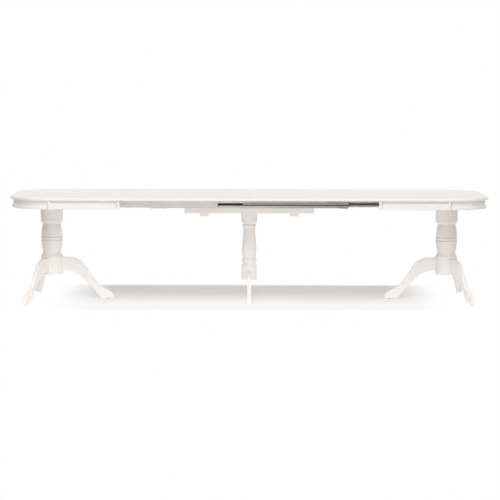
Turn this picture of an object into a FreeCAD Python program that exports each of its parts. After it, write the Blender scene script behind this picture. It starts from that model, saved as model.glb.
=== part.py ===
import FreeCAD, Part
import math
import os
import Sketcher

# Extending dining table on two turned pedestals, pulled out, with four leaves laid in.
# X runs along the table, the front is at -Y and Z is up, in millimetres.
# The origin is on the floor, below the middle of the table.
# Each end is drawn as the right end. The left end is the same work turned half round.

SIZES = [
    # the table top
    ("top_height", 760.0),
    ("top_width", 1000.0),
    ("top_thickness", 20.0),
    ("end_length", 792.0),
    ("leaf_length", 450.0),
    ("corner_radius", 287.0),
    ("top_edge_radius", 7.0),
    ("seam_gap", 0.4),
    ("rest_gap", 0.3),
    # aprons
    ("apron_height", 60.0),
    ("apron_setback", 13.0),
    ("apron_thickness", 22.0),
    ("apron_recess", 9.0),
    ("apron_band_height", 44.0),
    ("apron_edge_radius", 2.5),
    ("apron_end_inset", 2.0),
    ("lip_height", 18.0),
    ("lip_edge_radius", 3.5),
    ("cove_height", 8.0),
    ("joint_gap", 4.0),
    ("block_width", 18.0),
    ("block_setback", 6.0),
    ("block_edge_radius", 3.0),
    # slide rails
    ("rail_length", 1400.0),
    ("rail_height", 59.0),
    ("rail_thickness", 41.6),
    ("rail_gap", 0.4),
    ("rail_inner_end", 212.0),
    ("rail_end_slant", 16.0),
    ("rail_end_gap", 17.6),
    ("rail_clearance", 12.2),
    ("middle_rail_drop", 5.0),
    ("groove_mouth", 18.0),
    ("groove_floor", 24.0),
    ("groove_depth", 15.0),
    ("runner_height", 11.0),
    ("runner_reach", 8.0),
    ("runner_place", 45.0),
    ("slide_fit", 0.35),
    ("end_travel", 75.0),
    ("stop_length", 15.0),
    ("stop_slack", 0.5),
    ("tie_thickness", 4.0),
    ("left_tie_width", 113.0),
    ("right_tie_width", 46.0),
    ("tie_inset", 4.0),
    # boards and battens
    ("board_edge_radius", 1.5),
    ("bearer_height", 55.0),
    ("bearer_width", 40.0),
    ("bearer_length", 370.0),
    ("bearer_spread", 220.0),
    ("plate_thickness", 28.0),
    ("plate_length", 300.0),
    ("plate_width", 360.0),
    ("board_length", 916.0),
    ("board_height", 36.0),
    ("board_width", 54.0),
    ("board_inset", 8.0),
    ("batten_thickness", 23.0),
    ("batten_width", 58.0),
    ("batten_spread", 638.0),
    ("batten_inset", 14.0),
    ("leg_plate_width", 118.0),
    ("leaf_batten_thickness", 18.0),
    ("leaf_batten_width", 45.0),
    ("leaf_batten_length", 380.0),
    ("leaf_batten_spread", 240.0),
    # end pedestals
    ("pedestal_setback", 268.0),
    ("column_diameter", 159.5),
    ("hub_diameter", 159.0),
    ("hub_height", 122.0),
    ("hub_rim", 7.0),
    ("hub_edge", 2.0),
    ("peg_diameter", 60.0),
    ("peg_length", 20.0),
    ("peg_fit", 0.1),
    ("foot_top", 302.0),
    ("foot_reach", 445.0),
    ("foot_thickness", 30.0),
    ("foot_edge_radius", 4.0),
    ("foot_spread_angle", 111.4),
    ("tenon_thickness", 12.0),
    ("tenon_depth", 24.0),
    ("tenon_root", 6.0),
    ("tenon_fit", 0.15),
    # middle leg
    ("leg_diameter", 112.0),
    ("leg_hub_diameter", 111.0),
    ("leg_hub_height", 67.0),
    ("leg_hub_rim", 36.0),
    ("leg_peg_diameter", 46.0),
    ("leg_peg_length", 16.0),
    ("leg_foot_top", 205.0),
    ("leg_foot_reach", 336.0),
    ("leg_foot_thickness", 28.0),
    # glides and screws
    ("glide_diameter", 20.0),
    ("glide_height", 2.5),
    ("glide_pin_diameter", 4.0),
    ("glide_pin_length", 12.0),
    ("glide_pin_fit", 0.05),
    ("screw_diameter", 4.5),
    ("screw_head_diameter", 9.0),
    ("screw_head_height", 2.5),
    ("screw_bite", 12.0),
    ("frame_screw_bite", 20.0),
]

LEAF_COUNT = 4
HALF_TURN = 180
QUARTER_TURN = 90
QUARTER_BULGE = math.tan(math.pi / 8)

# How close counts as the same place, as a share of the top's thickness, and as a share of a line's
# length. An edge runs along an axis when this share of its direction lies along it.
SAME_PLACE_SHARE = 0.0001
SAME_END_SHARE = 0.01
ALONG_SHARE = 0.99

# Turned outlines above the hub, from its rim to the top of the block: the radius as a share of
# the block's radius, the height as a share of the turned length, and the bulge of the line that
# follows, as a share of half its length (positive is convex).
PEDESTAL_TURNING_SHARES = (
    (0.800, 0.083, 0.072),
    (0.940, 0.293, 0.0),
    (0.940, 0.299, 0.85),
    (0.940, 0.326, 0.0),
    (0.905, 0.332, 0.0),
    (0.905, 0.336, 0.0),
    (0.942, 0.342, 0.0),
    (0.942, 0.369, 0.85),
    (0.942, 0.395, 0.0),
    (0.905, 0.401, 0.0),
    (0.905, 0.405, 0.0),
    (0.948, 0.411, 0.080),
    (0.797, 0.667, 0.0),
    (0.797, 0.675, 0.15),
    (1.000, 0.730, 0.0),
)
PEDESTAL_RIM_BULGE_SHARE = -0.11
LEG_TURNING_SHARES = (
    (0.809, 0.021, 0.0),
    (0.809, 0.037, 0.45),
    (0.786, 0.149, 0.0),
    (0.866, 0.173, 0.03),
    (0.954, 0.295, 0.02),
    (0.793, 0.572, 0.0),
    (0.780, 0.731, 0.42),
    (0.786, 0.798, 0.0),
    (0.786, 0.806, 0.15),
    (1.000, 0.840, 0.0),
)
LEG_RIM_BULGE_SHARE = 0.0

# Bulge of the cove above the lip of an end's apron, as a share of half its width
COVE_BULGE_SHARE = -0.22

# Side outline of a foot, straight runs out along its upper edge and back along its lower edge:
# the reach and the height as shares of the foot's, and the radius of the bend there, as a share
# of the reach (0 is a corner).
FOOT_UPPER_SHARES = (
    (0.100, 1.000, 0.0),
    (0.449, 0.974, 0.297),
    (0.733, 0.351, 0.524),
    (1.000, 0.126, 0.081),
)
FOOT_SOLE_SHARES = (1.000, 0.790)
FOOT_LOWER_SHARES = (
    (0.692, 0.202, 0.449),
    (0.404, 0.626, 0.409),
    (0.100, 0.720, 0.0),
)
TENON_HEIGHT_SHARES = (0.735, 0.955)
GLIDE_PLACE_SHARE = 0.915

# Places of screws and of the groove, as shares of the piece that carries them.
GROOVE_PLACE_SHARE = 0.36
RAIL_SCREW_SHARES = (0.10, 0.37, 0.63, 0.90)
PLATE_SCREW_SHARE = 0.40
BOARD_SCREW_SHARES = (-0.45, -0.15, 0.15, 0.45)
BATTEN_SCREW_SHARES = (-0.25, 0.25)

doc = FreeCAD.newDocument("extending_table")
sheet = doc.addObject("Spreadsheet::Sheet", "Sizes")


class Size:
    """A length: its value, and the sheet expression that gives it."""

    def __init__(self, value, text):
        self.value = value
        self.text = text

    def join(self, sign, other, value):
        return Size(value, "(%s %s %s)" % (self.text, sign, other.text))

    def __add__(self, other):
        return self.join("+", other, self.value + other.value)

    def __sub__(self, other):
        return self.join("-", other, self.value - other.value)

    def __mul__(self, number):
        return Size(self.value * number, "(%s * %.9g)" % (self.text, number))

    def __truediv__(self, number):
        return Size(self.value / number, "(%s / %.9g)" % (self.text, number))

    def __neg__(self):
        return self * -1

    def longer(self, other):
        """The longer of the two lengths."""
        return Size(max(self.value, other.value), "max(%s; %s)" % (self.text, other.text))

    def leg(self, other):
        """The third side of a right triangle with this longest side and that other side."""
        value = math.sqrt(self.value ** 2 - other.value ** 2)
        return Size(value, "((%s ^ 2 - %s ^ 2) ^ 0.5)" % (self.text, other.text))


def fill_sheet():
    """Write the driving sizes into the sheet and hand them out by name."""
    sizes = {}
    for row, (name, value) in enumerate(SIZES, start=1):
        sheet.set("A%d" % row, name)
        sheet.set("B%d" % row, "%g" % value)
        sheet.setAlias("B%d" % row, name)
        sizes[name] = Size(value, "Sizes." + name)
    doc.recompute()
    return sizes


size = fill_sheet()
ZERO = Size(0.0, "0")
nodes = []


def keep(label, thing):
    """Give a finished sub-part its name and put it on the list of nodes."""
    thing.Label = label
    nodes.append((label, thing))
    return thing


def place(thing, x=ZERO, y=ZERO, z=ZERO, turn=ZERO):
    """Set a sub-part down at a point, turned about the upright axis."""
    thing.Placement = FreeCAD.Placement(FreeCAD.Vector(), FreeCAD.Rotation(FreeCAD.Vector(0, 0, 1), 0))
    for axis, length in (("x", x), ("y", y), ("z", z)):
        thing.setExpression("Placement.Base." + axis, length.text)
    thing.setExpression("Placement.Rotation.Angle", turn.text)
    return thing


def new_body(name):
    return doc.addObject("PartDesign::Body", name)


def origin_feature(body, role):
    return next(feature for feature in body.Origin.OriginFeatures if feature.Role == role)


def start_sketch(body, role, lift):
    """A sketch on one of the body's own planes, lifted along that plane's normal."""
    sketch = body.newObject("Sketcher::SketchObject", body.Name + "_sketch")
    sketch.AttachmentSupport = [(origin_feature(body, role), "")]
    sketch.MapMode = "FlatFace"
    sketch.setExpression("AttachmentOffset.Base.z", lift.text)
    return sketch


def bind(sketch, constraint, text):
    """Add a constraint whose length follows the sheet."""
    index = sketch.addConstraint(constraint)
    name = "size_%d" % index
    sketch.renameConstraint(index, name)
    sketch.setExpression("Constraints." + name, text)


def outline(body, role, points, lift=ZERO):
    """Draw a closed outline. A point is (across, up) or (across, up, bulge of the next line)."""
    sketch = start_sketch(body, role, lift)
    spots = [FreeCAD.Vector(point[0].value, point[1].value, 0) for point in points]
    ends = []
    for index, start in enumerate(spots):
        finish = spots[(index + 1) % len(spots)]
        bulge = points[index][2] if len(points[index]) > 2 else 0.0
        run = finish - start
        if bulge:
            aside = FreeCAD.Vector(run.y, -run.x, 0)
            line = Part.Arc(start, (start + finish) / 2 + aside * (bulge / 2), finish)
        else:
            line = Part.LineSegment(start, finish)
        sketch.addGeometry(line, False)
        forward = sketch.getPoint(index, 1).isEqual(start, run.Length * SAME_END_SHARE)
        ends.append((1, 2) if forward else (2, 1))
    for index, point in enumerate(points):
        following = (index + 1) % len(points)
        joint = Sketcher.Constraint("Coincident", index, ends[index][1], following, ends[following][0])
        sketch.addConstraint(joint)
        for kind, length in (("DistanceX", point[0]), ("DistanceY", point[1])):
            rule = Sketcher.Constraint(kind, -1, 1, index, ends[index][0], length.value)
            bind(sketch, rule, length.text)
    for index, point in enumerate(points):
        if len(point) > 2 and point[2]:
            after = points[(index + 1) % len(points)]
            across = after[0] - point[0]
            upward = after[1] - point[1]
            factor = (1 + point[2] ** 2) / (4 * abs(point[2]))
            text = "(%s ^ 2 + %s ^ 2) ^ 0.5 * %.12g" % (across.text, upward.text, factor)
            rule = Sketcher.Constraint("Radius", index, sketch.Geometry[index].Radius)
            bind(sketch, rule, text)
    return sketch


def circle(body, role, across, up, radius, lift=ZERO):
    """Draw one circle."""
    sketch = start_sketch(body, role, lift)
    centre = FreeCAD.Vector(across.value, up.value, 0)
    sketch.addGeometry(Part.Circle(centre, FreeCAD.Vector(0, 0, 1), radius.value), False)
    bind(sketch, Sketcher.Constraint("DistanceX", -1, 1, 0, 3, across.value), across.text)
    bind(sketch, Sketcher.Constraint("DistanceY", -1, 1, 0, 3, up.value), up.text)
    bind(sketch, Sketcher.Constraint("Radius", 0, radius.value), radius.text)
    return sketch


def rectangle(left, right, low, high):
    return [(left, low), (right, low), (right, high), (left, high)]


def pad(body, sketch, length, both_ways=False):
    """Thicken a sketch along its plane's normal, or half to each side."""
    feature = body.newObject("PartDesign::Pad", body.Name + "_pad")
    feature.Profile = sketch
    feature.SideType = "Symmetric" if both_ways else "One side"
    feature.setExpression("Length", length.text)
    doc.recompute()
    return feature


def pocket(body, sketch, length=None):
    """Cut a sketch upward along its plane's normal, or right through both ways."""
    before = body.Shape.Volume
    feature = body.newObject("PartDesign::Pocket", body.Name + "_pocket")
    feature.Profile = sketch
    if length is None:
        feature.SideType = "Symmetric"
        feature.Type = "ThroughAll"
    else:
        feature.Reversed = True
        feature.setExpression("Length", length.text)
    doc.recompute()
    if body.Shape.Volume >= before:
        raise RuntimeError(body.Name + ": a cut removes nothing")
    return feature


def turn_solid(body, sketch, angle):
    """Turn a sketch about the body's upright axis."""
    feature = body.newObject("PartDesign::Revolution", body.Name + "_turning")
    feature.Profile = sketch
    feature.ReferenceAxis = (origin_feature(body, "Z_Axis"), [""])
    feature.Angle = angle
    doc.recompute()
    return feature


def round_edges(body, feature, radius, wanted):
    """Round the edges that the test picks."""
    edges = enumerate(feature.Shape.Edges, start=1)
    names = ["Edge%d" % number for number, edge in edges if wanted(edge)]
    fillet = body.newObject("PartDesign::Fillet", body.Name + "_rounding")
    fillet.Base = (feature, names)
    fillet.setExpression("Radius", radius.text)
    doc.recompute()
    return fillet


def near(value, length):
    """Whether a measured value is this length."""
    return abs(value - length.value) < size["top_thickness"].value * SAME_PLACE_SHARE


def is_upright(edge):
    return abs(edge.tangentAt(edge.FirstParameter).z) > ALONG_SHARE


def board(name, left, right, front, back, low, high):
    """A plain board with eased edges."""
    body = new_body(name)
    solid = pad(body, outline(body, "XY_Plane", rectangle(left, right, front, back), low), high - low)
    round_edges(body, solid, size["board_edge_radius"], lambda edge: True)
    return body


def gather(name, things):
    """Several separate solids as one object."""
    compound = doc.addObject("Part::Compound", name)
    compound.Links = things
    return compound


def group(label, things):
    """Several separate solids that make one node."""
    return keep(label, gather(label + "_group", things))


def cut(name, base, tool):
    """Take a tool's shape out of a piece."""
    result = doc.addObject("Part::Cut", name + "_cut")
    result.Base = base
    result.Tool = tool
    return result


def drilled(name, pieces, fasteners):
    """Each of the pieces with the fasteners' holes in it."""
    return [cut("%s_%d" % (name, index), piece, fasteners) for index, piece in enumerate(pieces)]


def cylinder(name, diameter, height, x=ZERO, y=ZERO, z=ZERO):
    solid = doc.addObject("Part::Cylinder", name)
    solid.setExpression("Radius", (diameter / 2).text)
    solid.setExpression("Height", height.text)
    return place(solid, x, y, z)


def screw(name, x, y, z, length):
    """A countersunk wood screw, driven upward, its head level with the face at this height."""
    shank = cylinder(name + "_shank", size["screw_diameter"], length, x, y, z)
    head = doc.addObject("Part::Cone", name + "_head")
    head.setExpression("Radius1", (size["screw_head_diameter"] / 2).text)
    head.setExpression("Radius2", (size["screw_diameter"] / 2).text)
    head.setExpression("Height", size["screw_head_height"].text)
    place(head, x, y, z)
    whole = doc.addObject("Part::Fuse", name)
    whole.Base = shank
    whole.Tool = head
    return whole


# Heights, from the top down
under = size["top_height"] - size["top_thickness"]
apron_low = under - size["apron_height"]
lip_high = apron_low + size["lip_height"]
rail_low = under - size["rail_height"]
middle_rail_low = rail_low - size["middle_rail_drop"]
groove_height = rail_low + size["rail_height"] * GROOVE_PLACE_SHARE
groove_high = groove_height + size["groove_mouth"] / 2
board_low = middle_rail_low - size["board_height"]
batten_low = board_low - size["batten_thickness"]
tie_low = middle_rail_low - size["tie_thickness"]
plate_high = under - size["bearer_height"]
plate_low = plate_high - size["plate_thickness"]

# Lengths, from the middle out
half_width = size["top_width"] / 2
seam = size["leaf_length"] * (LEAF_COUNT / 2)
end = seam + size["end_length"]
tangent = end - size["corner_radius"]
corner_side = half_width - size["corner_radius"]
half_rail = size["rail_length"] / 2
pedestal_place = end - size["pedestal_setback"]

# The solid inner end of an end rail, and what it meets when the end is pulled right out
slot_start = size["rail_inner_end"] + size["rail_end_slant"] + size["stop_length"]
tongue_start = slot_start + size["end_travel"] + size["stop_slack"]

# Widths, from the middle out: the crosspieces, then three rails side by side
half_rail_thickness = size["rail_thickness"] / 2
rail_pitch = size["rail_thickness"] + size["rail_gap"]
crosspiece = size["bearer_length"].longer(size["leaf_batten_length"])
inner_rail_place = crosspiece / 2 + size["rail_clearance"] + half_rail_thickness
middle_rail_place = inner_rail_place + rail_pitch
outer_rail_place = middle_rail_place + rail_pitch
board_place = middle_rail_place - size["board_inset"]

# The end rails run out until the outer ones come near the inside of the corner aprons
corner_inside = size["corner_radius"] - size["apron_setback"] - size["apron_thickness"]
rail_outer_face = outer_rail_place + half_rail_thickness
corner_reach = corner_inside.leg(rail_outer_face - corner_side)
rail_outer_end = tangent + corner_reach - size["rail_end_gap"]


def table_end(side):
    """One end: its top, aprons, rails and pedestal, drawn as the right end."""
    turn = HALF_TURN if side == "left" else 0
    facing = Size(turn, "%d" % turn)
    face_names = {1: "back", -1: "front"} if side == "right" else {1: "front", -1: "back"}
    rails = {}
    screws = []
    for way in (-1, 1):
        rails[way] = end_rail(side, way)
        screws += rail_screws(side, way)
    top = end_top(side)
    plate, plate_screws = pedestal_plate(side)
    bearers = [cross_bearer(side, way) for way in (-1, 1)]
    screws += plate_screws
    group(side + "_screws", screws)
    fasteners = gather(side + "_screw_holes", screws)
    keep(side + "_top", cut(side + "_top", top, fasteners))
    keep(side + "_pedestal_plate", cut(side + "_plate", plate, fasteners))
    group(side + "_cross_bearers", drilled(side + "_bearer", bearers, fasteners))
    for way in (-1, 1):
        name = "%s_%s_rail" % (side, face_names[way])
        keep(name, cut(name, rails[way], fasteners))
    aprons(side, face_names)
    if side == "right":
        group("right_rail_stops", [end_stop(side, way) for way in (-1, 1)])
    pedestal(side, face_names)
    for label, thing in nodes:
        if label.startswith(side + "_"):
            turn_whole(thing, facing)


def turn_whole(thing, facing):
    """Turn a finished sub-part about the middle of the table."""
    thing.Placement = FreeCAD.Placement(
        FreeCAD.Vector(), FreeCAD.Rotation(FreeCAD.Vector(0, 0, 1), facing.value)
    )


def end_top(side):
    """The end of the top, with two rounded corners and a rounded edge all but at the seam."""
    body = new_body(side + "_top_board")
    start = seam + size["seam_gap"] / 2
    points = [
        (start, -half_width),
        (tangent, -half_width, QUARTER_BULGE),
        (end, -corner_side),
        (end, corner_side, QUARTER_BULGE),
        (tangent, half_width),
        (start, half_width),
    ]
    solid = pad(body, outline(body, "XY_Plane", points, under), size["top_thickness"])

    def outer_edge(edge):
        return not is_upright(edge) and not near(edge.CenterOfMass.x, start)

    round_edges(body, solid, size["top_edge_radius"], outer_edge)
    return body


def end_rail(side, way):
    """A slide rail under the end: outside the middle rail on the left, inside it on the right."""
    middle = outer_rail_place if side == "left" else inner_rail_place
    body = new_body("%s_rail_%d" % (side, way + 1))
    points = [
        (size["rail_inner_end"], under),
        (rail_outer_end, under),
        (rail_outer_end, rail_low),
        (size["rail_inner_end"] + size["rail_end_slant"], rail_low),
    ]
    solid = pad(body, outline(body, "XZ_Plane", points), size["rail_thickness"], True)
    round_edges(body, solid, size["board_edge_radius"], lambda edge: True)
    if side == "right":
        pocket(body, outline(body, "YZ_Plane", groove_points(half_rail_thickness, way)))
    else:
        pocket(body, outline(body, "YZ_Plane", slot_points(size["runner_height"], way)))
        tall = outline(body, "YZ_Plane", slot_points(size["groove_mouth"], way), slot_start)
        pocket(body, tall, rail_outer_end - slot_start)
    return place(body, y=middle * way)


def slot_points(height, way):
    """Section of a slot in an outer rail's inner face, for what reaches this far down the groove."""
    fit = size["slide_fit"]
    floor = half_rail_thickness + size["rail_gap"] - size["runner_reach"] - fit
    return rectangle(-half_rail_thickness * way, -floor * way, groove_high - height - fit, groove_high + fit)


def groove_points(face, way):
    """Section of the dovetail groove in a rail's face that looks away from the table's middle."""
    floor = face - size["groove_depth"]
    return [
        (face * way, groove_height - size["groove_mouth"] / 2),
        (floor * way, groove_height - size["groove_floor"] / 2),
        (floor * way, groove_height + size["groove_floor"] / 2),
        (face * way, groove_height + size["groove_mouth"] / 2),
    ]


def tongue_points(face, way):
    """Section of the dovetail tongue on a rail's inner face, which runs in the next rail's groove."""
    tip = face - size["rail_gap"] - size["groove_depth"] + size["slide_fit"]
    root_half = size["groove_mouth"] / 2 - size["slide_fit"]
    tip_half = size["groove_floor"] / 2 - size["slide_fit"]
    return [
        (face * way, groove_height - root_half),
        (tip * way, groove_height - tip_half),
        (tip * way, groove_height + tip_half),
        (face * way, groove_height + root_half),
    ]


def bar(name, points, start, finish):
    """A length of one section along the table."""
    body = new_body(name)
    pad(body, outline(body, "YZ_Plane", points, start), finish - start)
    return body


def end_stop(side, way):
    """The stop in an inner rail's groove, which meets the middle rail's tongue."""
    points = groove_points(inner_rail_place + half_rail_thickness, way)
    start = slot_start - size["stop_length"]
    return bar("%s_stop_%d" % (side, way + 1), points, start, slot_start)


def rail_screws(side, way):
    """Screws from below, through a rail and into the top."""
    middle = outer_rail_place if side == "left" else inner_rail_place
    length = size["rail_height"] + size["screw_bite"]
    run = rail_outer_end - seam
    made = []
    for index, share in enumerate(RAIL_SCREW_SHARES):
        name = "%s_rail_screw_%d_%d" % (side, way + 1, index)
        made.append(screw(name, seam + run * share, middle * way, rail_low, length))
    return made


def band_section(outer):
    """Section of a straight apron: a proud lower band, and a recess above it under the top."""
    inner = outer - size["apron_thickness"]
    recess = outer - size["apron_recess"]
    step = apron_low + size["apron_band_height"]
    front = [(outer, apron_low), (outer, step), (recess, step), (recess, under)]
    return [(inner, apron_low)] + front + [(inner, under)]


def lip_section(outer):
    """Section of an apron round the end: a lip, and a cove that runs up from it into the recess."""
    inner = outer - size["apron_thickness"]
    recess = outer - size["apron_recess"]
    lip = [(outer, apron_low), (outer, lip_high, COVE_BULGE_SHARE)]
    upper = [(recess, lip_high + size["cove_height"]), (recess, under), (inner, under)]
    return [(inner, apron_low)] + lip + upper


def aprons(side, face_names):
    """The skirt round the end: two straight boards between blocks, two corners and the end board."""
    inner_block = seam + size["apron_end_inset"]
    blocks = []
    for way in (-1, 1):
        face = face_names[way]
        straight = new_body("%s_%s_apron_board" % (side, face))
        outer = half_width - size["apron_setback"]
        points = [(across * way, height) for across, height in band_section(outer)]
        start = inner_block + size["block_width"] + size["joint_gap"]
        finish = tangent - size["joint_gap"] - size["block_width"]
        solid = pad(straight, outline(straight, "YZ_Plane", points, start), finish - start)

        def outer_arris(edge, outer=outer, way=way):
            return near(edge.CenterOfMass.y, outer * way) and not is_upright(edge)

        round_edges(straight, solid, size["apron_edge_radius"], outer_arris)
        keep("%s_%s_apron" % (side, face), straight)
        corner = corner_apron(side, face)
        spin = Size(-QUARTER_TURN, "-%d" % QUARTER_TURN) if way < 0 else ZERO
        place(corner, tangent, corner_side * way, ZERO, spin)
        group("%s_%s_corner_apron" % (side, face), [corner])
        for number, left in enumerate((inner_block, finish)):
            blocks.append(apron_block("%s_%s_block_%d" % (side, face, number), left, way))
    group(side + "_apron_blocks", blocks)
    end_board = new_body(side + "_end_apron_board")
    section = lip_section(end - size["apron_setback"])
    solid = pad(end_board, outline(end_board, "XZ_Plane", section), corner_side * 2, True)
    round_edges(end_board, solid, size["lip_edge_radius"], lip_test(end - size["apron_setback"]))
    keep(side + "_end_apron", end_board)


def lip_test(outer):
    """Picks the two long edges of a lip whose face is this far out."""

    def wanted(edge):
        lengthwise = abs(edge.tangentAt(edge.FirstParameter).y) > ALONG_SHARE
        return lengthwise and near(edge.valueAt(edge.FirstParameter).x, outer)

    return wanted


def corner_apron(side, face):
    """A quarter round of the apron, turned about the corner's own axis."""
    body = new_body("%s_%s_corner" % (side, face))
    outer = size["corner_radius"] - size["apron_setback"]
    solid = turn_solid(body, outline(body, "XZ_Plane", lip_section(outer)), QUARTER_TURN)

    def lip_arc(edge):
        start = edge.valueAt(edge.FirstParameter)
        outside = near(math.hypot(start.x, start.y), outer)
        return outside and not is_upright(edge) and edge.Length > outer.value

    round_edges(body, solid, size["lip_edge_radius"], lip_arc)
    return body


def apron_block(name, left, way):
    """A square block that ends a straight apron, proud of it, with rounded upright edges."""
    body = new_body(name)
    outer = (half_width - size["block_setback"]) * way
    inner = (half_width - size["apron_setback"] - size["apron_thickness"]) * way
    points = rectangle(left, left + size["block_width"], inner, outer)
    solid = pad(body, outline(body, "XY_Plane", points, apron_low), size["apron_height"])
    round_edges(body, solid, size["block_edge_radius"],
                lambda edge: is_upright(edge) and near(edge.CenterOfMass.y, outer))
    return body


def cross_bearer(side, way):
    """A bearer across the underside of the top, beside the pedestal."""
    middle = pedestal_place + size["bearer_spread"] / 2 * way
    half = size["bearer_length"] / 2
    reach = size["bearer_width"] / 2
    name = "%s_bearer_%d" % (side, way + 1)
    return board(name, middle - reach, middle + reach, -half, half, plate_high, under)


def pedestal_plate(side):
    """The plate under the bearers, bored for the column's peg, and its screws."""
    half_length = size["plate_length"] / 2
    half = size["plate_width"] / 2
    middle = pedestal_place
    left = middle - half_length
    right = middle + half_length
    blank = board(side + "_plate", left, right, -half, half, plate_low, plate_high)
    bore = size["peg_diameter"] + size["peg_fit"] * 2
    hole = cylinder(side + "_plate_bore", bore, size["plate_thickness"], middle, ZERO, plate_low)
    length = size["plate_thickness"] + size["frame_screw_bite"]
    made = []
    for way in (-1, 1):
        for hand in (-1, 1):
            x = middle + size["bearer_spread"] / 2 * way
            y = size["plate_width"] * (PLATE_SCREW_SHARE * hand)
            name = "%s_plate_screw_%d_%d" % (side, way + 1, hand + 1)
            made.append(screw(name, x, y, plate_low, length))
    return cut(side + "_plate_bored", blank, hole), made


def turned_column(name, hub, block, heights, peg, turning, rim_bulge):
    """A turned column: a hub below, the turning, a block and a round peg on top."""
    hub_low, hub_high, top = heights
    peg_diameter, peg_length = peg
    run = top - hub_high
    radius = block / 2
    points = [
        (ZERO, hub_low),
        (hub / 2 - size["hub_edge"], hub_low),
        (hub / 2, hub_low + size["hub_edge"]),
        (hub / 2, hub_high, rim_bulge),
    ]
    points += [(radius * out, hub_high + run * up, bulge) for out, up, bulge in turning]
    points += [
        (radius, top),
        (peg_diameter / 2, top),
        (peg_diameter / 2, top + peg_length),
        (ZERO, top + peg_length),
    ]
    body = new_body(name)
    turn_solid(body, outline(body, "XZ_Plane", points), 2 * HALF_TURN)
    return body


def crosswise_edge_at(x, z):
    """Picks the edge that runs across the foot through this point of its side outline."""

    def wanted(edge):
        middle = edge.CenterOfMass
        return near(middle.x, x) and near(middle.z, z)

    return wanted


def foot(name, hub, top, reach, thickness):
    """A shaped foot that points along +X, coped to its hub, with a tenon and a hole for its glide."""
    body = new_body(name)
    sole = size["glide_height"]
    upper = [(reach * out, top * up) for out, up, bend in FOOT_UPPER_SHARES]
    lower = [(reach * out, top * up) for out, up, bend in FOOT_LOWER_SHARES]
    points = upper + [(reach * share, sole) for share in FOOT_SOLE_SHARES] + lower
    solid = pad(body, outline(body, "XZ_Plane", points), thickness, True)
    for out, up, bend in FOOT_UPPER_SHARES + FOOT_LOWER_SHARES:
        if bend:
            solid = round_edges(body, solid, reach * bend, crosswise_edge_at(reach * out, top * up))
    half = thickness / 2

    def side_edge(edge):
        return near(abs(edge.CenterOfMass.y), half)

    round_edges(body, solid, size["foot_edge_radius"], side_edge)
    pocket(body, circle(body, "XY_Plane", ZERO, ZERO, hub / 2))
    low, high = [top * share for share in TENON_HEIGHT_SHARES]
    half_tenon = size["tenon_thickness"] / 2
    shape = rectangle(hub / 2 - size["tenon_depth"], hub / 2 + size["tenon_root"], -half_tenon, half_tenon)
    pad(body, outline(body, "XY_Plane", shape, low), high - low)
    pin = size["glide_pin_diameter"] / 2 + size["glide_pin_fit"]
    spot = circle(body, "XY_Plane", reach * GLIDE_PLACE_SHARE, ZERO, pin, sole)
    pocket(body, spot, size["glide_pin_length"] + size["glide_pin_fit"])
    return body


def mortise(name, hub, top, x, turn):
    """The hole in a hub that takes a foot's tenon."""
    low, high = [top * share for share in TENON_HEIGHT_SHARES]
    fit = size["tenon_fit"]
    half = size["tenon_thickness"] / 2 + fit
    body = new_body(name)
    shape = rectangle(hub / 2 - size["tenon_depth"] - fit, hub / 2 + size["tenon_root"], -half, half)
    pad(body, outline(body, "XY_Plane", shape, low - fit), high - low + fit * 2)
    return place(body, x, ZERO, ZERO, turn)


def glide(name, reach, x, turn):
    """A round glide with a pin that is driven up into the foot."""
    body = new_body(name)
    middle = reach * GLIDE_PLACE_SHARE
    disc = circle(body, "XY_Plane", middle, ZERO, size["glide_diameter"] / 2)
    pad(body, disc, size["glide_height"])
    pin = circle(body, "XY_Plane", middle, ZERO, size["glide_pin_diameter"] / 2)
    pad(body, pin, size["glide_height"] + size["glide_pin_length"])
    return place(body, x, ZERO, ZERO, turn)


def pedestal(side, face_names):
    """The turned column, its three feet and their glides."""
    middle = pedestal_place
    top = size["foot_top"]
    reach = size["foot_reach"]
    hub = size["hub_diameter"]
    heights = (top - size["hub_height"], top + size["hub_rim"], plate_low)
    peg = (size["peg_diameter"], size["peg_length"])
    column = turned_column(side + "_column", hub, size["column_diameter"], heights, peg,
                           PEDESTAL_TURNING_SHARES, PEDESTAL_RIM_BULGE_SHARE)
    place(column, middle)
    straight = Size(HALF_TURN, "%d" % HALF_TURN)
    spread = size["foot_spread_angle"]
    turns = (("inner", straight), (face_names[1], straight - spread), (face_names[-1], straight + spread))
    holes = []
    glides = []
    for face, turn in turns:
        name = "%s_%s_foot" % (side, face)
        shaped = foot(name + "_board", hub, top, reach, size["foot_thickness"])
        place(shaped, middle, ZERO, ZERO, turn)
        group(name, [shaped])
        holes.append(mortise(name + "_mortise", hub, top, middle, turn))
        glides.append(glide(name + "_glide", reach, middle, turn))
    mortises = gather(side + "_mortises", holes)
    keep(side + "_pedestal_column", cut(side + "_column", column, mortises))
    group(side + "_foot_glides", glides)


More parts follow.
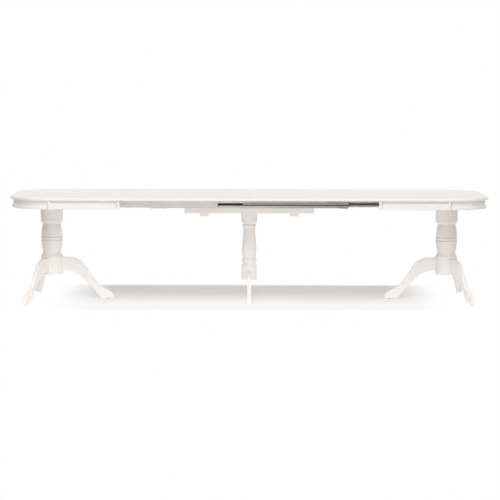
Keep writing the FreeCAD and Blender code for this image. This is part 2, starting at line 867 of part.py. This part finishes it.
def middle_frame():
    """The middle rails, their ties, and the boards and battens that hang the middle leg from them."""
    rails = {way: middle_rail(way) for way in (-1, 1)}
    boards = {way: leg_board(way) for way in (-1, 1)}
    half_batten = size["batten_width"] / 2
    outer = board_place + size["board_width"] / 2 - size["batten_inset"]
    battens = []
    for way in (-1, 1):
        middle = size["batten_spread"] / 2 * way
        battens.append(board("batten_%d" % (way + 1), middle - half_batten, middle + half_batten,
                             -outer, outer, batten_low, board_low))
    half_plate = size["leg_plate_width"] / 2
    plate_blank = board("leg_plate_blank", -half_plate, half_plate, -outer, outer, batten_low, board_low)
    bore = cylinder("leg_plate_bore", size["leg_peg_diameter"] + size["peg_fit"] * 2,
                    size["batten_thickness"], ZERO, ZERO, batten_low)
    plate = cut("leg_plate_bored", plate_blank, bore)
    ties = middle_ties()
    screws = middle_screws()
    fasteners = group("middle_screws", screws)
    for way, face in ((-1, "front"), (1, "back")):
        keep("middle_%s_rail" % face, cut("middle_%s_rail" % face, rails[way], fasteners))
        keep("leg_%s_board" % face, cut("leg_%s_board" % face, boards[way], fasteners))
    group("leg_battens", drilled("batten", battens, fasteners))
    keep("leg_plate", cut("leg_plate", plate, fasteners))
    group("middle_ties", drilled("tie", ties, fasteners))
    group("middle_rail_tongues", [middle_tongue(way) for way in (-1, 1)])
    group("middle_rail_runners", middle_runners(-1) + middle_runners(1))


def middle_rail(way):
    """A middle rail, grooved on its outer face, its top a hair below the tops that slide over it."""
    body = new_body("middle_rail_%d" % (way + 1))
    high = under - size["rest_gap"]
    points = rectangle(-half_rail_thickness, half_rail_thickness, middle_rail_low, high)
    solid = pad(body, outline(body, "YZ_Plane", points), size["rail_length"], True)
    round_edges(body, solid, size["board_edge_radius"], lambda edge: True)
    pocket(body, outline(body, "YZ_Plane", groove_points(half_rail_thickness, way)))
    return place(body, y=middle_rail_place * way)


def middle_tongue(way):
    """The tongue on a middle rail's inner face, short of the right end's stop by the travel."""
    face = middle_rail_place - half_rail_thickness
    return bar("middle_tongue_%d" % (way + 1), tongue_points(face, way), tongue_start, half_rail)


def runner_points(way):
    """Section of a runner: it sits in the upper part of the middle rail's groove and stands out of it."""
    face = middle_rail_place + half_rail_thickness
    floor = face - size["groove_depth"]
    tip = face + size["runner_reach"]
    low = groove_high - size["runner_height"]
    root_high = groove_height + size["groove_floor"] / 2
    return [
        (floor * way, low),
        (floor * way, root_high),
        (face * way, groove_high),
        (tip * way, groove_high),
        (tip * way, low),
    ]


def middle_runners(way):
    """The runners in a middle rail's groove. A lug on the left one stops the outer rail's slot."""
    left = bar("left_runner_%d" % (way + 1), runner_points(way), -half_rail, -tongue_start)
    face = middle_rail_place + half_rail_thickness
    tip = face + size["runner_reach"]
    lug = rectangle(face * way, tip * way, groove_high - size["groove_mouth"], groove_high)
    lug_start = -tongue_start - size["stop_length"]
    pad(left, outline(left, "YZ_Plane", lug, lug_start), size["stop_length"])
    right = bar("right_runner_%d" % (way + 1), runner_points(way), -size["runner_place"], half_rail)
    return [left, right]


def middle_ties():
    """Thin ties across the underside of the middle rails, one near each end."""
    outer = middle_rail_place + half_rail_thickness
    finish = half_rail - size["tie_inset"]
    spans = (
        ("left_tie", -finish, size["left_tie_width"] - finish),
        ("right_tie", finish - size["right_tie_width"], finish),
    )
    return [board(name, left, right, -outer, outer, tie_low, middle_rail_low) for name, left, right in spans]


def leg_board(way):
    """A board under a middle rail, which carries the battens and the middle leg's plate."""
    half = size["board_length"] / 2
    reach = size["board_width"] / 2
    front = board_place * way - reach
    back = board_place * way + reach
    return board("leg_board_%d" % (way + 1), -half, half, front, back, board_low, middle_rail_low)


def middle_screws():
    """All the screws of the middle frame, driven upward."""
    made = []
    bite = size["frame_screw_bite"]
    for way in (-1, 1):
        y = board_place * way
        for index, share in enumerate(BOARD_SCREW_SHARES):
            length = size["board_height"] + bite
            name = "board_screw_%d_%d" % (way + 1, index)
            made.append(screw(name, size["board_length"] * share, y, board_low, length))
        length = size["batten_thickness"] + bite
        strips = ((-size["batten_spread"] / 2, size["batten_width"]), (ZERO, size["leg_plate_width"]),
                  (size["batten_spread"] / 2, size["batten_width"]))
        for strip, (middle, width) in enumerate(strips):
            for index, share in enumerate(BATTEN_SCREW_SHARES):
                name = "batten_screw_%d_%d_%d" % (way + 1, strip, index)
                made.append(screw(name, middle + width * share, y, batten_low, length))
        finish = half_rail - size["tie_inset"]
        spots = (size["left_tie_width"] / 2 - finish, finish - size["right_tie_width"] / 2)
        for index, x in enumerate(spots):
            name = "tie_screw_%d_%d" % (way + 1, index)
            length = size["tie_thickness"] + bite
            made.append(screw(name, x, middle_rail_place * way, tie_low, length))
    return made


def middle_leg():
    """The slimmer turned leg under the middle of the table, on a front and a back foot."""
    top = size["leg_foot_top"]
    reach = size["leg_foot_reach"]
    hub = size["leg_hub_diameter"]
    heights = (top - size["leg_hub_height"], top + size["leg_hub_rim"], batten_low)
    peg = (size["leg_peg_diameter"], size["leg_peg_length"])
    column = turned_column("leg_turning", hub, size["leg_diameter"], heights, peg,
                           LEG_TURNING_SHARES, LEG_RIM_BULGE_SHARE)
    holes = []
    glides = []
    for face, angle in (("front", -QUARTER_TURN), ("back", QUARTER_TURN)):
        turn = Size(angle, "%d" % angle)
        name = "leg_%s_foot" % face
        shaped = foot(name + "_board", hub, top, reach, size["leg_foot_thickness"])
        keep(name, place(shaped, turn=turn))
        holes.append(mortise(name + "_mortise", hub, top, ZERO, turn))
        glides.append(glide(name + "_glide", reach, ZERO, turn))
    mortises = gather("leg_mortises", holes)
    keep("leg_column", cut("leg_column", column, mortises))
    group("leg_foot_glides", glides)


def leaf(number):
    """A loose leaf, resting a hair above the rails, and the two battens under it."""
    start = size["leaf_length"] * (number - 1 - LEAF_COUNT / 2)
    low = under + size["rest_gap"]
    body = new_body("leaf_%d_board" % number)
    half_gap = size["seam_gap"] / 2
    points = rectangle(start + half_gap, start + size["leaf_length"] - half_gap, -half_width, half_width)
    solid = pad(body, outline(body, "XY_Plane", points, low), size["top_height"] - low)

    def long_edge(edge):
        return not is_upright(edge) and near(abs(edge.CenterOfMass.y), half_width)

    round_edges(body, solid, size["top_edge_radius"], long_edge)
    keep("leaf_%d" % number, body)
    middle = start + size["leaf_length"] / 2
    half = size["leaf_batten_length"] / 2
    reach = size["leaf_batten_width"] / 2
    batten_floor = low - size["leaf_batten_thickness"]
    battens = []
    for way in (-1, 1):
        x = middle + size["leaf_batten_spread"] / 2 * way
        name = "leaf_%d_batten_%d" % (number, way + 1)
        battens.append(board(name, x - reach, x + reach, -half, half, batten_floor, low))
    group("leaf_%d_battens" % number, battens)


def write_parts():
    """Check every object and every sub-part's shape, then write one file for each sub-part."""
    doc.recompute()
    for thing in doc.Objects:
        if "Invalid" in thing.State or "Error" in thing.State:
            raise RuntimeError("%s failed: %s" % (thing.Name, thing.State))
    for label, thing in nodes:
        if thing.Shape.isNull() or not thing.Shape.isValid():
            raise RuntimeError(label + " has no valid shape")
    os.makedirs("parts", exist_ok=True)
    for label, thing in nodes:
        thing.Shape.exportStep("parts/%s.step" % label)
        print("%-28s %2d solids %12.0f mm3" % (label, len(thing.Shape.Solids), thing.Shape.Volume))


for side in ("left", "right"):
    table_end(side)
middle_frame()
middle_leg()
for number in range(1, LEAF_COUNT + 1):
    leaf(number)
write_parts()
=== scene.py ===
import math

import bpy
from mathutils import Matrix, Vector


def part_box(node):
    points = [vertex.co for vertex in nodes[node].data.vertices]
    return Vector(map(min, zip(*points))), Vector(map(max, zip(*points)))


# A white extending dining table on two pedestals and a middle leg, pulled out with four leaves laid in.
# Everything is in metres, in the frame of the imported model: the front is at -Y.

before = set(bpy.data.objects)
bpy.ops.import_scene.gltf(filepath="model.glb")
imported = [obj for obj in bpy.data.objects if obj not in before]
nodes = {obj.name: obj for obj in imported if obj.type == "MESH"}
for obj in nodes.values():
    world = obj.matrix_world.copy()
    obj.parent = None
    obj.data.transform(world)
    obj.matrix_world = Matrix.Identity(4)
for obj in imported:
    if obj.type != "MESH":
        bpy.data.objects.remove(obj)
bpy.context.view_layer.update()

# Camera, with its lens and sensor in millimetres
CAMERA_PLACE = Vector((0.0, -13.042, 1.660))
CAMERA_PITCH = math.radians(84.27)
CAMERA_YAW = math.radians(-0.027)
CAMERA_ROLL = math.radians(0.12)
CAMERA_LENS = 130.6
CAMERA_SENSOR = 36.0

# Light: a white surround that is brighter overhead, two broad lamps far away, each given by its watts on
# a square metre, height, turn and width as seen from the table, and a long low softbox in front and one
# behind, each given by its watts, place, length and height.
WORLD_LOW = 0.14
WORLD_HIGH = 0.53
OVERHEAD_LAMP = (1.72, math.radians(52), math.radians(-2), math.radians(52))
KEY_LAMP = (0.32, math.radians(8), math.radians(55), math.radians(40))
FRONT_SOFTBOX = (23.5, Vector((-0.5, -3.8, 0.58)), 4.8, 1.1)
BACK_SOFTBOX = (35.0, Vector((0.0, 4.0, 1.6)), 5.2, 2.8)

# The floor is white paper to the eye: it takes the table's shadow near the table and fades to plain white
# further out. The light that it gives back is strongest below the table, where it also glows unseen and
# lights the table from below like a hidden lamp. A zone is a rectangle, given by its half length, the
# width over which its ends fade out, its front, its back and their fade.
FLOOR_HALF = 40.0
FLOOR_COLOUR = (0.75, 0.75, 0.75)
FLOOR_GLOW = 0.20
FLOOR_BOUNCE = (0.85, 0.85, 0.85)
FLOOR_BOUNCE_FAR = (0.5, 0.5, 0.5)
# How strongly the floor glows unseen below the table, lighting the table from below
FLOOR_UNDER_GLOW = 0.33
SHADOW_ZONE = (1.0, 0.45, -0.54, 0.72, 0.16)
BOUNCE_ZONE = (1.7, 0.9, -40.0, 40.0, 0.9)
UNDER_GLOW_ZONE = (1.6, 0.4, -0.55, 0.55, 0.4)

# Colours, as linear red, green and blue
WHITE = (1.0, 1.0, 1.0)
PAINT = (0.890, 0.846, 0.813)
PAINT_SHADE = (0.868, 0.820, 0.785)
PAINT_RUBBED = (0.815, 0.762, 0.720)
STAIN = (0.760, 0.712, 0.690)
STAIN_DARK = (0.530, 0.476, 0.450)
STAIN_PORE = (0.350, 0.290, 0.260)
# Painted shade: the near-black painted into the grooves of the middle rails, and a paler one for the right
# rails
GROOVE_PAINTED_SHADE = (0.014, 0.012, 0.011)
GROOVE_PAINTED_SHADE_PALE = (0.150, 0.127, 0.118)
# Wax streaks and painted shade, darkening the grooved rails where the runner strip stands out
SMEAR_AND_PAINTED_SHADE = (0.180, 0.158, 0.148)
BARE = (0.430, 0.385, 0.358)
BARE_DARK = (0.300, 0.250, 0.220)
BARE_PORE = (0.120, 0.098, 0.086)
PLASTIC = (0.016, 0.016, 0.017)
PLASTIC_WORN = (0.055, 0.054, 0.053)
ZINC = (0.760, 0.745, 0.700)
ZINC_DULL = (0.560, 0.545, 0.510)

# Wood figure: how many times as long as wide the grain and the pores are drawn
PAINT_FIGURE = 14.0
STAIN_FIGURE = 11.0
STAIN_PORE_FIGURE = 42.0
BARE_FIGURE = 7.0
BARE_PORE_FIGURE = 38.0

# Worn edges: how wide they are, and how well the rounded normal agrees with the plain one where the wear
# starts and where it is full
PAINT_EDGE = 0.003
STAIN_EDGE = 0.002
PLASTIC_EDGE = 0.0012
EDGE_START = 0.985
EDGE_FULL = 0.80
EDGE_SAMPLES = 4

# How far wear rubs the lacquer's edges, cleans the pores from the stained wood's edges, and scuffs plastic
# away from its edges
PAINT_RUB = 0.16
STAIN_RUB = 0.35
PLASTIC_WEAR = 0.25

# Relief of a surface, given by its strength and height
PAINT_PEEL = (0.05, 0.0004)
PAINT_RELIEF = (0.10, 0.0006)
STAIN_RELIEF = (0.22, 0.0008)
BARE_RELIEF = (0.25, 0.0008)
PLASTIC_RELIEF = (0.20, 0.0003)
ZINC_RELIEF = (0.12, 0.0002)

# The shares of grain and pores in the lacquer's relief, of its pores in its gloss, and of the open pores
# in the relief of stained and bare wood
PAINT_GRAIN_RISE = 0.6
PAINT_PORE_RISE = 0.4
PAINT_PORE_GLOSS = 0.5
STAIN_PORE_SINK = 0.8
BARE_PORE_SINK = 0.7

# The lacquer's clear top layer
COAT_WEIGHT = 0.12
COAT_ROUGHNESS = 0.22

# The rails with a groove in their outer face, how deep it is, and the lip at its mouth that is left out of
# the painted shade in it. Along them, wax streaks and painted shade under the runner strip grow more and
# more between two places along the table, up to a share of the whole.
GROOVED_RAILS = ("middle_front_rail", "middle_back_rail", "right_front_rail", "right_back_rail")
GROOVE_DEPTH = 0.015
GROOVE_LIP = 0.0006
SMEAR_AND_SHADE_START = -0.25
SMEAR_AND_SHADE_FULL = 0.60
SMEAR_AND_SHADE_MOST = 0.75

# Grain: how far each direction is turned, and the words in the names of pieces whose grain runs across
AXIS_TURNS = {
    "along": (0.0, 0.0, 0.0),
    "across": (0.0, 0.0, math.pi / 2),
    "upright": (0.0, math.pi / 2, 0.0),
    "slanting_left": (0.0, 0.0, math.pi / 4),
    "slanting_right": (0.0, 0.0, -math.pi / 4),
}
CROSSWISE = ("end_apron", "bearer", "batten", "leg_plate", "ties", "leg_front_foot", "leg_back_foot")

# The sockets of a colour mix node, which share their names with others
MIX_FACTOR = 0
MIX_FIRST = 6
MIX_SECOND = 7
MIX_RESULT = 2


def opaque(colour):
    """A plain colour with full alpha, or the colour of another node as it is."""
    return (*colour, 1.0) if isinstance(colour, tuple) else colour


class Nodes:
    """The node tree of a material or a world, with short calls that make and join its nodes."""

    def __init__(self, owner):
        owner.use_nodes = True
        self.owner = owner
        self.tree = owner.node_tree

    def join(self, source, socket):
        """Link another node to a socket, or set the socket's own value."""
        if isinstance(source, bpy.types.NodeSocket):
            self.tree.links.new(source, socket)
        else:
            socket.default_value = source

    def make(self, kind, links=None, **settings):
        """A new node with these settings, joined to what its sockets take."""
        node = self.tree.nodes.new(kind)
        for key, value in settings.items():
            setattr(node, key, value)
        for socket, source in (links or {}).items():
            self.join(source, node.inputs[socket])
        return node

    def place(self):
        """Object coordinates, which are metres in the shared frame."""
        return self.make("ShaderNodeTexCoord").outputs["Object"]

    def axes(self):
        """Object coordinates as X, Y and Z."""
        return self.make("ShaderNodeSeparateXYZ", {"Vector": self.place()}).outputs

    def grain_space(self, direction, figure):
        """Object coordinates turned so that X runs along the grain, and drawn out along it."""
        links = {"Vector": self.place(), "Rotation": AXIS_TURNS[direction]}
        turned = self.make("ShaderNodeMapping", links).outputs["Vector"]
        links = {"Vector": turned, "Scale": (1.0, figure, figure)}
        return self.make("ShaderNodeMapping", links).outputs["Vector"]

    def noise(self, vector, scale, detail=4.0, roughness=0.55, distortion=0.0):
        links = {"Scale": scale, "Detail": detail, "Roughness": roughness, "Distortion": distortion}
        links["Vector"] = vector
        return self.make("ShaderNodeTexNoise", links).outputs["Fac"]

    def spread(self, value, low, high, new_low=0.0, new_high=1.0, **settings):
        """Map a range of a value onto another, clamped."""
        links = {"Value": value, "From Min": low, "From Max": high, "To Min": new_low, "To Max": new_high}
        return self.make("ShaderNodeMapRange", links, **settings).outputs["Result"]

    def reckon(self, kind, first, *others):
        """Take the first value with each of the others in turn."""
        for other in others:
            first = self.make("ShaderNodeMath", {0: first, 1: other}, operation=kind).outputs["Value"]
        return first

    def times(self, *values):
        return self.reckon("MULTIPLY", *values)

    def plus(self, *values):
        return self.reckon("ADD", *values)

    def minus(self, *values):
        return self.reckon("SUBTRACT", *values)

    def most(self, *values):
        return self.reckon("MAXIMUM", *values)

    def unsigned(self, value):
        return self.make("ShaderNodeMath", {0: value}, operation="ABSOLUTE").outputs["Value"]

    def mix(self, factor, first, second):
        """Mix two colours."""
        links = {MIX_FACTOR: factor, MIX_FIRST: opaque(first), MIX_SECOND: opaque(second)}
        return self.make("ShaderNodeMix", links, data_type="RGBA").outputs[MIX_RESULT]

    def mix_shaders(self, factor, first, second):
        return self.make("ShaderNodeMixShader", {0: factor, 1: first, 2: second}).outputs[0]

    def add_shaders(self, first, second):
        return self.make("ShaderNodeAddShader", {0: first, 1: second}).outputs[0]

    def edges(self, width):
        """1 on the edges of a piece, fading to 0 this far from them."""
        soft = self.make("ShaderNodeBevel", {"Radius": width}, samples=EDGE_SAMPLES).outputs["Normal"]
        plain = self.make("ShaderNodeNewGeometry").outputs["Normal"]
        likeness = self.make("ShaderNodeVectorMath", {0: soft, 1: plain}, operation="DOT_PRODUCT")
        return self.spread(likeness.outputs["Value"], EDGE_START, EDGE_FULL)

    def bump(self, pattern, strength, height, normal=None):
        """The normal of a surface with this pattern raised on it, over another normal if one is given."""
        links = {"Height": pattern, "Strength": strength, "Distance": height}
        if normal is not None:
            links["Normal"] = normal
        return self.make("ShaderNodeBump", links).outputs["Normal"]

    def seen_rays(self):
        """1 for rays from the camera, from gloss and from glass."""
        rays = self.make("ShaderNodeLightPath").outputs
        return self.most(rays["Is Camera Ray"], rays["Is Glossy Ray"], rays["Is Transmission Ray"])

    def finish(self, colour, roughness, normal, plain_values=None):
        """Join the colour, roughness and normal to the shader, and set its plain values."""
        links = {"Base Color": colour, "Roughness": roughness, "Normal": normal}
        links.update(plain_values or {})
        for socket, source in links.items():
            self.join(source, self.tree.nodes["Principled BSDF"].inputs[socket])
        return self.owner


def new_material(name):
    return Nodes(bpy.data.materials.new(name))


def painted_wood(direction):
    """Satin white lacquer on wood: faint clouds, telegraphed grain, orange peel and rubbed edges."""
    paint = new_material("painted_wood_" + direction)
    place = paint.place()
    space = paint.grain_space(direction, PAINT_FIGURE)
    cloud = paint.noise(place, scale=2.6, detail=3.0)
    grain = paint.noise(space, scale=9.0, detail=6.0, roughness=0.62, distortion=0.5)
    pores = paint.noise(space, scale=46.0, detail=3.0, roughness=0.6)
    peel = paint.noise(place, scale=900.0, detail=2.0)
    breaks = paint.noise(place, scale=38.0)
    veil = paint.spread(grain, low=0.42, high=0.78, new_high=0.35)
    shade = paint.plus(paint.spread(cloud, low=0.30, high=0.74, new_high=0.55), veil)
    rub = paint.times(paint.edges(PAINT_EDGE), paint.spread(breaks, low=0.40, high=0.72), PAINT_RUB)
    colour = paint.mix(rub, paint.mix(shade, PAINT, PAINT_SHADE), PAINT_RUBBED)
    sheen = paint.plus(cloud, paint.times(pores, PAINT_PORE_GLOSS))
    gloss = paint.spread(sheen, low=0.55, high=0.95, new_low=0.33, new_high=0.44)
    raised = paint.plus(paint.times(grain, PAINT_GRAIN_RISE), paint.times(pores, PAINT_PORE_RISE))
    normal = paint.bump(raised, *PAINT_RELIEF, paint.bump(peel, *PAINT_PEEL))
    coat = {"Coat Weight": COAT_WEIGHT, "Coat Roughness": COAT_ROUGHNESS}
    return paint.finish(colour, gloss, normal, coat)


def groove_painted_shade(wood, rail):
    """1 on the walls of the groove in a rail's outer face, where shade is painted in."""
    low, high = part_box(rail)
    face = max(abs(low.y), abs(high.y))
    deep = face - GROOVE_DEPTH
    runner_low, runner_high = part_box("middle_rail_runners")
    middle = (runner_low.z + runner_high.z) / 2
    half = (runner_high.z - runner_low.z) / 2
    axes = wood.axes()
    out = wood.unsigned(axes["Y"])
    rise = wood.unsigned(wood.minus(axes["Z"], middle))
    inside = wood.spread(out, face - 2 * GROOVE_LIP, face - GROOVE_LIP, new_low=1.0, new_high=0.0)
    within = wood.spread(rise, half, half + GROOVE_LIP, new_low=1.0, new_high=0.0)
    short = wood.spread(out, deep - 2 * GROOVE_LIP, deep - GROOVE_LIP)
    return wood.times(inside, within, short)


def with_painted_shade_and_wax(wood, rail, colour, streaks):
    """The colour of a grooved rail, with wax streaks and painted shade along it, and painted shade in its
    groove.
    """
    # Wax streaks and painted shade under the runner strip, growing along the table
    ramp = wood.spread(wood.axes()["X"], SMEAR_AND_SHADE_START, SMEAR_AND_SHADE_FULL, new_high=SMEAR_AND_SHADE_MOST)
    smear_and_shade = wood.times(ramp, wood.spread(streaks, low=0.36, high=0.62, new_low=0.35))
    # The painted shade in the groove: near-black on the middle rails, paler on the right rails
    groove_shade = GROOVE_PAINTED_SHADE if rail.startswith("middle") else GROOVE_PAINTED_SHADE_PALE
    return wood.mix(groove_painted_shade(wood, rail), wood.mix(smear_and_shade, colour, SMEAR_AND_PAINTED_SHADE), groove_shade)


def pale_wood(direction, rail=None):
    """White-stained hardwood of the slides and hidden boards: streaks and open pores, and on a grooved rail
    wax streaks with painted shade.
    """
    wood = new_material("pale_wood_" + (rail or direction))
    space = wood.grain_space(direction, STAIN_FIGURE)
    long_space = wood.grain_space(direction, STAIN_PORE_FIGURE)
    bands = wood.noise(space, scale=2.4, detail=5.0, roughness=0.60, distortion=1.6)
    streaks = wood.noise(space, scale=13.0, detail=6.0, roughness=0.66, distortion=0.8)
    pores = wood.noise(long_space, scale=12.0, roughness=0.72)
    cloud = wood.noise(wood.place(), scale=3.2, detail=3.0)
    tone = wood.times(wood.spread(streaks, low=0.40, high=0.70), wood.spread(bands, low=0.30, high=0.66))
    depth = wood.spread(cloud, low=0.25, high=0.75, new_low=0.20, new_high=0.60)
    open_pores = wood.times(wood.spread(pores, low=0.58, high=0.72), depth)
    colour = wood.mix(open_pores, wood.mix(tone, STAIN, STAIN_DARK), STAIN_PORE)
    colour = wood.mix(wood.times(wood.edges(STAIN_EDGE), STAIN_RUB), colour, STAIN)
    if rail:
        colour = with_painted_shade_and_wax(wood, rail, colour, streaks)
    gloss = wood.spread(streaks, low=0.30, high=0.75, new_low=0.46, new_high=0.66)
    raised = wood.minus(streaks, wood.times(open_pores, STAIN_PORE_SINK))
    return wood.finish(colour, gloss, wood.bump(raised, *STAIN_RELIEF))


def bare_wood(direction):
    """Bare hardwood of the sliding strips, dark and blotchy from old waxing."""
    wood = new_material("bare_wood_" + direction)
    space = wood.grain_space(direction, BARE_FIGURE)
    long_space = wood.grain_space(direction, BARE_PORE_FIGURE)
    blotch = wood.noise(wood.place(), scale=34.0, detail=5.0, roughness=0.62, distortion=0.8)
    streaks = wood.noise(space, scale=20.0, detail=6.0, roughness=0.70, distortion=0.6)
    pores = wood.noise(long_space, scale=13.0, roughness=0.72)
    patches = wood.spread(blotch, low=0.34, high=0.62, new_low=0.35)
    tone = wood.times(wood.spread(streaks, low=0.36, high=0.68), patches)
    open_pores = wood.spread(pores, low=0.56, high=0.70, new_high=0.8)
    colour = wood.mix(open_pores, wood.mix(tone, BARE, BARE_DARK), BARE_PORE)
    gloss = wood.spread(blotch, low=0.30, high=0.70, new_low=0.34, new_high=0.58)
    raised = wood.minus(streaks, wood.times(open_pores, BARE_PORE_SINK))
    return wood.finish(colour, gloss, wood.bump(raised, *BARE_RELIEF))


def black_plastic():
    """Moulded black plastic with a fine texture, scuffed grey on its edges."""
    plastic = new_material("black_plastic_moulded")
    place = plastic.place()
    texture = plastic.noise(place, scale=1400.0, detail=2.0)
    scuff = plastic.noise(place, scale=120.0, detail=5.0, roughness=0.7)
    wear = plastic.most(plastic.edges(PLASTIC_EDGE), PLASTIC_WEAR)
    worn = plastic.times(wear, plastic.spread(scuff, low=0.46, high=0.70))
    colour = plastic.mix(worn, PLASTIC, PLASTIC_WORN)
    gloss = plastic.spread(texture, low=0.30, high=0.70, new_low=0.42, new_high=0.58)
    return plastic.finish(colour, gloss, plastic.bump(texture, *PLASTIC_RELIEF))


def zinc_steel():
    """Bright zinc plate, a little dull and clouded, with a fine roughness."""
    zinc = new_material("zinc_steel_plated")
    place = zinc.place()
    cloud = zinc.noise(place, scale=260.0, detail=5.0, roughness=0.65)
    marks = zinc.noise(place, scale=2400.0, detail=2.0)
    colour = zinc.mix(zinc.spread(cloud, low=0.35, high=0.70), ZINC, ZINC_DULL)
    gloss = zinc.spread(cloud, low=0.30, high=0.75, new_low=0.24, new_high=0.44)
    return zinc.finish(colour, gloss, zinc.bump(marks, *ZINC_RELIEF), {"Metallic": 1.0})


def direction_of(name):
    """The way the grain runs in a node."""
    if "column" in name or "blocks" in name:
        return "upright"
    if any(word in name for word in CROSSWISE):
        return "across"
    # True on the diagonal from the left front to the right back
    falling = name.startswith("left") == ("front" in name)
    if "corner" in name:
        return "slanting_right" if falling else "slanting_left"
    if "front_foot" in name or "back_foot" in name:
        return "slanting_left" if falling else "slanting_right"
    return "along"


def dress_nodes():
    """Give every node of the model the finish that its slot calls for."""
    makers = {"painted_wood": painted_wood, "pale_wood": pale_wood, "bare_wood": bare_wood}
    plain = {"black_plastic": black_plastic(), "zinc_steel": zinc_steel()}
    made = {}
    for name, thing in nodes.items():
        finish = thing.material_slots[0].material.name.split(".")[0]
        direction = direction_of(name)
        if finish in plain:
            material = plain[finish]
        elif name in GROOVED_RAILS:
            material = pale_wood(direction, name)
        else:
            if (finish, direction) not in made:
                made[finish, direction] = makers[finish](direction)
            material = made[finish, direction]
        for slot in thing.material_slots:
            slot.material = material


def white_world():
    """A plain white surround, seen as white and lighting the table softly."""
    world = bpy.data.worlds.new("studio")
    bpy.context.scene.world = world
    studio = Nodes(world)
    studio.tree.nodes.clear()
    way = studio.make("ShaderNodeTexCoord").outputs["Generated"]
    rise = studio.make("ShaderNodeSeparateXYZ", {"Vector": way}).outputs["Z"]
    strength = studio.spread(rise, low=0.0, high=1.0, new_low=WORLD_LOW, new_high=WORLD_HIGH)
    light = studio.make("ShaderNodeBackground", {"Color": opaque(WHITE), "Strength": strength}).outputs[0]
    shown = studio.make("ShaderNodeBackground", {"Color": opaque(WHITE), "Strength": 1.0}).outputs[0]
    whole = studio.mix_shaders(studio.seen_rays(), light, shown)
    studio.make("ShaderNodeOutputWorld", {"Surface": whole})


def floor_zone(floor, half_length, end_fade, front, back, side_fade):
    """1 inside a rectangle on the floor, fading to 0 outside it."""
    axes = floor.axes()
    sides = (("X", -half_length, end_fade), ("X", half_length, end_fade))
    sides += (("Y", front, side_fade), ("Y", back, side_fade))
    ramps = []
    for axis, rim, fade in sides:
        end = rim + math.copysign(fade, rim)
        ramps.append(floor.spread(axes[axis], rim, end, 1.0, 0.0, interpolation_type="SMOOTHSTEP"))
    return floor.times(*ramps)


def floor_paper():
    """White paper, with one look for the rays that see it and one for the light that it gives back, in which
    it glows unseen below the table and lights it from below. It is clear from below, so that the underside
    of the table can be looked at.
    """
    floor = new_material("floor_paper")
    tree = floor.tree
    tree.nodes.remove(tree.nodes["Principled BSDF"])
    paper = floor.make("ShaderNodeBsdfDiffuse", {"Color": opaque(FLOOR_COLOUR)}).outputs[0]
    glow = floor.make("ShaderNodeEmission", {"Strength": FLOOR_GLOW}).outputs[0]
    white = floor.make("ShaderNodeEmission", {"Strength": 1.0}).outputs[0]
    seen = floor.mix_shaders(floor_zone(floor, *SHADOW_ZONE), white, floor.add_shaders(paper, glow))
    colour = floor.mix(floor_zone(floor, *BOUNCE_ZONE), FLOOR_BOUNCE_FAR, FLOOR_BOUNCE)
    bounce = floor.make("ShaderNodeBsdfDiffuse", {"Color": colour}).outputs[0]
    # An unseen glow of the floor below the table, which lights the table from below
    strength = floor.times(floor_zone(floor, *UNDER_GLOW_ZONE), FLOOR_UNDER_GLOW)
    under_glow = floor.make("ShaderNodeEmission", {"Strength": strength}).outputs[0]
    above = floor.mix_shaders(floor.seen_rays(), floor.add_shaders(bounce, under_glow), seen)
    below = floor.make("ShaderNodeBsdfTransparent").outputs[0]
    under = floor.make("ShaderNodeNewGeometry").outputs["Backfacing"]
    whole = floor.mix_shaders(under, above, below)
    tree.links.new(whole, tree.nodes["Material Output"].inputs["Surface"])
    floor.owner.cycles.emission_sampling = "NONE"
    return floor.owner


def put_in_scene(name, data):
    """A new object in the scene that holds this mesh, lamp or camera."""
    thing = bpy.data.objects.new(name, data)
    bpy.context.scene.collection.objects.link(thing)
    return thing


def pale_floor():
    """A plain pale floor that takes the table's shadow and meets the white surround."""
    mesh = bpy.data.meshes.new("floor")
    corners = [(-FLOOR_HALF, -FLOOR_HALF, 0), (FLOOR_HALF, -FLOOR_HALF, 0)]
    corners += [(FLOOR_HALF, FLOOR_HALF, 0), (-FLOOR_HALF, FLOOR_HALF, 0)]
    mesh.from_pydata(corners, [], [(0, 1, 2, 3)])
    floor = put_in_scene("floor", mesh)
    mesh.materials.append(floor_paper())


def soft_lamp(name, strength, height, turn, width):
    """A broad lamp far away: its light comes from the front, this high and turned this far to +X."""
    lamp = bpy.data.lights.new(name, "SUN")
    lamp.energy = strength
    lamp.angle = width
    thing = put_in_scene(name, lamp)
    thing.rotation_euler = (math.pi / 2 - height, 0.0, turn)


def softbox(name, watts, place, length, height):
    """A long upright softbox parallel to the table and facing it, that neither camera nor gloss sees."""
    lamp = bpy.data.lights.new(name, "AREA")
    lamp.energy = watts
    lamp.shape = "RECTANGLE"
    lamp.size = length
    lamp.size_y = height
    thing = put_in_scene(name, lamp)
    thing.location = place
    thing.rotation_euler = (math.copysign(math.pi / 2, -place.y), 0.0, 0.0)
    thing.visible_camera = False
    thing.visible_glossy = False


def photo_camera():
    """The camera at the photograph's place, aim and lens."""
    data = bpy.data.cameras.new("camera")
    data.lens = CAMERA_LENS
    data.sensor_width = CAMERA_SENSOR
    camera = put_in_scene("camera", data)
    aim = Matrix.Rotation(CAMERA_YAW, 4, "Z") @ Matrix.Rotation(CAMERA_PITCH, 4, "X")
    camera.matrix_world = Matrix.Translation(CAMERA_PLACE) @ aim @ Matrix.Rotation(CAMERA_ROLL, 4, "Z")
    bpy.context.scene.camera = camera


dress_nodes()
white_world()
pale_floor()
soft_lamp("overhead_lamp", *OVERHEAD_LAMP)
soft_lamp("key_lamp", *KEY_LAMP)
softbox("front_softbox", *FRONT_SOFTBOX)
softbox("back_softbox", *BACK_SOFTBOX)
photo_camera()
bpy.context.scene.view_settings.view_transform = "Standard"
